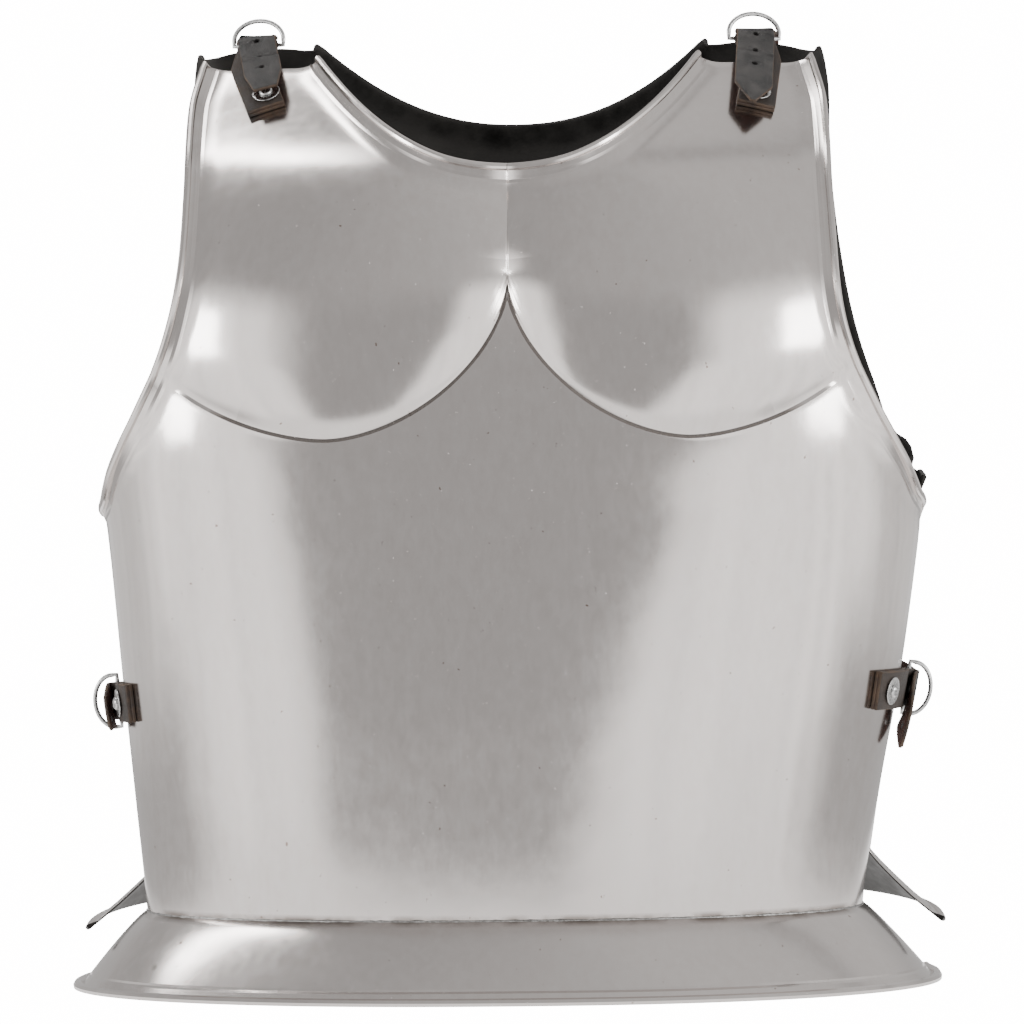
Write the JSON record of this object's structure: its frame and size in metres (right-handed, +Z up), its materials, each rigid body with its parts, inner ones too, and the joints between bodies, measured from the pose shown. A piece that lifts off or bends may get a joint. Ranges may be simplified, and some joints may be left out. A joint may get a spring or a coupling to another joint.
{
  "type": "steel cuirass",
  "caption": "Steel cuirass: a breastplate with embossed pectorals and a flared waist flange, strapped to a backplate with leather straps and D-rings.",
  "frame": {"origin": "on the ground, under the middle of the width and of the depth", "axes": "+Z up, -Y the front of the chest, +X the wearer's left"},
  "size_m": [0.46, 0.3004, 0.5083],
  "materials": {
    "steel": "polished sheet steel, blackened inside",
    "bright_steel": "bright steel wire, rivets and washers",
    "strap_leather": "black oiled leather with brown flesh side",
    "tab_leather": "dark brown leather, worn black"
  },
  "bodies": {
    "root": {"breastplate": "steel", "backplate": "steel", "shoulder_left_tab": "tab_leather", "shoulder_left_ring": "bright_steel", "shoulder_left_strap": "strap_leather", "shoulder_left_tab_rivet": "bright_steel", "shoulder_left_tab_washer": "bright_steel", "shoulder_left_strap_rivet": "bright_steel", "shoulder_left_strap_washer": "bright_steel", "shoulder_right_tab": "tab_leather", "shoulder_right_ring": "bright_steel", "shoulder_right_strap": "strap_leather", "shoulder_right_tab_rivet": "bright_steel", "shoulder_right_tab_washer": "bright_steel", "shoulder_right_strap_rivet": "bright_steel", "shoulder_right_strap_washer": "bright_steel", "side_left_tab": "tab_leather", "side_left_ring": "bright_steel", "side_left_strap": "strap_leather", "side_left_tab_rivet": "bright_steel", "side_left_tab_washer": "bright_steel", "side_left_strap_rivet": "bright_steel", "side_left_strap_washer": "bright_steel", "side_right_tab": "tab_leather", "side_right_ring": "bright_steel", "side_right_strap": "strap_leather", "side_right_tab_rivet": "bright_steel", "side_right_tab_washer": "bright_steel", "side_right_strap_rivet": "bright_steel", "side_right_strap_washer": "bright_steel"}
  },
  "joints": []
}
